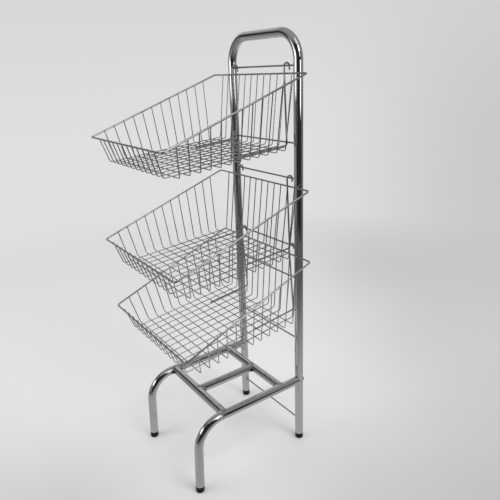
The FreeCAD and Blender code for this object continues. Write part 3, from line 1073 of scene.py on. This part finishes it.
def aroundCamera(f, vector):
    # degrees to the right of the camera's side, the upward part, and the part to the right
    x = f.node("SeparateXYZ", {}, {0: vector})
    y, z = x.other("Y"), x.other("Z")
    toward = x * towardCamera[0] + y * towardCamera[1]
    across = x * cameraRight[0] + y * cameraRight[1]
    return across.maths("ARCTAN2", across, toward) * (180 / math.pi), z, across


def makeWorld():
    world = bpy.data.worlds.new("studio")
    bpy.context.scene.world = world
    f = Finish(world)
    angle, height, across = aroundCamera(f, f.node("TexCoord", out="Generated"))
    rays = f.node("LightPath", out="Is Camera Ray")
    # the background the camera sees, with painted shade darker to the right and higher up
    pale = blend(studio["pale"], studio["paleRight"], across.between(*studio["rightFrom"]))
    pale = blend(pale, studio["paleHigh"], studio["highShare"] * height.between(*studio["highFrom"]))
    # painted reflection of a lamp high on one side, seen only by glossy rays and lighting nothing
    lamp = 1 - abs(angle - studio["lampAzimuth"]).between(*studio["lampEdge"])
    lamp = lamp * height.within(studio["lampFoot"], studio["lampTop"])
    mirrored = blend(studio["ceiling"], studio["ceilingLamp"], lamp)
    colour = f.mix(rays.other("Is Glossy Ray"), studio["fill"], mirrored)
    background = f.node("Background", {}, {"Color": f.mix(rays, colour, pale)})
    f.node("OutputWorld", {}, {"Surface": background})


def stageMesh(name, points, faces, material):
    mesh = bpy.data.meshes.new(name)
    mesh.from_pydata(points, [], faces)
    mesh.materials.append(material)
    return linked(name, mesh)


def makeRoom():
    # A ring wall: (radius cos a, radius sin a, height). Its glow is painted reflection: it gives no light
    # and hides nothing.
    angle = turns(room["sides"])
    ring = room["radius"] * np.stack([np.cos(angle), np.sin(angle), 0 * angle], -1)
    points = np.concatenate([ring, ring + [0, 0, room["height"]]]).tolist()
    faces = ringQuads(2, room["sides"])[:, ::-1].tolist()
    f = Finish(bpy.data.materials.new("room"))
    angle, height, _ = aroundCamera(f, f.objectPlace())
    # painted reflection: the wall's glow, dark on the camera's side and paler to the left, to the right and
    # behind
    left = blend(room["leftLow"], room["leftMiddle"], height.between(*room["leftShade"]))
    left = blend(left, room["leftHigh"], height.between(*room["leftHighFrom"]))
    right = blend(room["rightLow"], room["rightHigh"], height.between(*room["rightHighFrom"]))
    level = blend(room["dark"], left, (0 - angle).between(*room["leftFrom"]))
    level = blend(level, right, angle.between(*room["rightFrom"]))
    backdrop = blend(room["backdrop"], studio["ceiling"], height.between(*room["backdropTop"]))
    level = blend(level, backdrop, abs(angle).between(*room["backdropFrom"]))
    # painted reflections of lights: glowing bands added to the wall, lighting nothing
    for light in room["lights"].values():
        edge = 1 - abs(angle - light["azimuth"]).between(*light["edge"])
        level = level + light["level"] * edge * height.within(light["foot"], light["top"])
    material = f.surface("Emission", {"Color": level})
    wall = stageMesh("room", points, faces, material)
    for rays in ("camera", "diffuse", "transmission", "shadow"):
        setattr(wall, "visible_" + rays, False)


sweep = {
    "radius": 4.5, "rings": 40, "sides": 96,
    # near, away, right and camera: painted light and shade in the paper's colour, a brighter pool about the
    # stand, darker to the right and further out on the camera's side
    "near": 0.78,
    "away": 0.75, "awayFrom": (0.25, 1.0),
    "camera": 0.72, "cameraFrom": (0.0, 0.55), "cameraSide": (50, 120),
    "right": 0.80, "rightFrom": (0.3, 1.2),
    "fade": (1.5, 3.0),
    # mirrored levels and the stripe: painted reflection of the floor, an emission seen only by glossy rays,
    # with a dark painted stripe on the left
    "mirroredNear": 0.56, "mirroredFar": 0.15, "mirroredBehind": 0.72,
    "farFrom": (0.35, 1.7),
    "cameraSooner": 0.4, "soonerSide": (15, 60),
    "behindFrom": (115, 140),
    "stripe": 0.12, "stripeFoot": (0.91, 0.95), "stripeTop": (1.28, 1.34), "stripeSide": (112, 120),
    "mottle": 1.7, "mottleDepth": 0.3,
}


def makeFloor():
    # A disc of rings: (r cos a, r sin a, 0), r growing with the square of the ring's number.
    count, sides = sweep["rings"], sweep["sides"]
    r = sweep["radius"] * (np.arange(1, count + 1)[:, None] / count) ** 2
    angle = turns(sides)[None, :]
    rings = np.stack([r * np.cos(angle), r * np.sin(angle), 0 * r * angle], -1).reshape(-1, 3)
    faces = (ringQuads(count, sides)[:, ::-1] + 1).tolist()
    faces += [(0, 1 + j, 1 + (j + 1) % sides) for j in range(sides)]
    f = Finish(bpy.data.materials.new("sweep"))
    place = f.objectPlace()
    angle, _, across = aroundCamera(f, place)
    far = f.node("VectorMath", {"operation": "LENGTH"}, {0: place}, "Value")
    rightShadeMask = across + sweep["mottleDepth"] * f.noise(place, sweep["mottle"])
    side = abs(angle)
    # painted light and shade in the paper: a brighter pool about the stand, darker to the right, darker
    # further out on the camera's side
    shade = blend(sweep["near"], sweep["away"], far.between(*sweep["awayFrom"]))
    shade = shade * blend(1, sweep["right"], rightShadeMask.between(*sweep["rightFrom"]))
    cameraShadeShare = far.between(*sweep["cameraFrom"]) * (1 - side.between(*sweep["cameraSide"]))
    shade = shade * blend(1, sweep["camera"], cameraShadeShare)
    paper = f.node("BsdfDiffuse", {}, {"Color": shade})
    clear = f.node("BsdfTransparent")
    seen = f.node("MixShader", {}, {0: far.between(*sweep["fade"]), 1: paper, 2: clear})
    # painted reflection: what glossy rays see of the floor, an emission paler near the stand, dark further
    # out on the camera's side, pale behind, with a dark stripe on the left
    outer = blend(sweep["mirroredFar"], sweep["mirroredBehind"], side.between(*sweep["behindFrom"]))
    sooner = sweep["cameraSooner"] * (1 - side.between(*sweep["soonerSide"]))
    level = blend(sweep["mirroredNear"], outer, (far + sooner).between(*sweep["farFrom"]))
    stripe = (0 - across).within(sweep["stripeFoot"], sweep["stripeTop"])
    level = blend(level, sweep["stripe"], stripe * (1 - side.between(*sweep["stripeSide"])))
    mirrored = f.node("Emission", {}, {"Color": level})
    rays = f.node("LightPath", out="Is Glossy Ray")
    material = f.surface("MixShader", {0: rays, 1: seen, 2: mirrored})
    floor = stageMesh("sweep", [(0, 0, 0), *rings.tolist()], faces, material)


lamps = {
    "rightLamp": {"azimuth": 50, "elevation": 48, "distance": 2.6, "size": 1.1, "watts": 24},
    "leftLamp": {"azimuth": -75, "elevation": 42, "distance": 2.8, "size": 1.4, "watts": 16},
}


def makeLamps():
    # each lamp stands by its azimuth from the camera's side, and faces the middle of the stand
    aim = (cadLow + cadHigh) / 2
    for name, lamp in lamps.items():
        azimuth, elevation = math.radians(lamp["azimuth"]), math.radians(lamp["elevation"])
        level = towardCamera * math.cos(azimuth) + cameraRight * math.sin(azimuth)
        away = Vector((*(level * math.cos(elevation)), math.sin(elevation)))
        data = bpy.data.lights.new(name, "AREA")
        data.size = lamp["size"]
        data.energy = lamp["watts"]
        light = linked(name, data)
        light.location = aim + away * lamp["distance"]
        light.rotation_euler = away.to_track_quat("Z", "Y").to_euler()
        light.visible_glossy = False


makeCamera()
makeWorld()
makeRoom()
makeFloor()
makeLamps()
bpy.context.scene.view_settings.view_transform = "Standard"
print("studio ready")
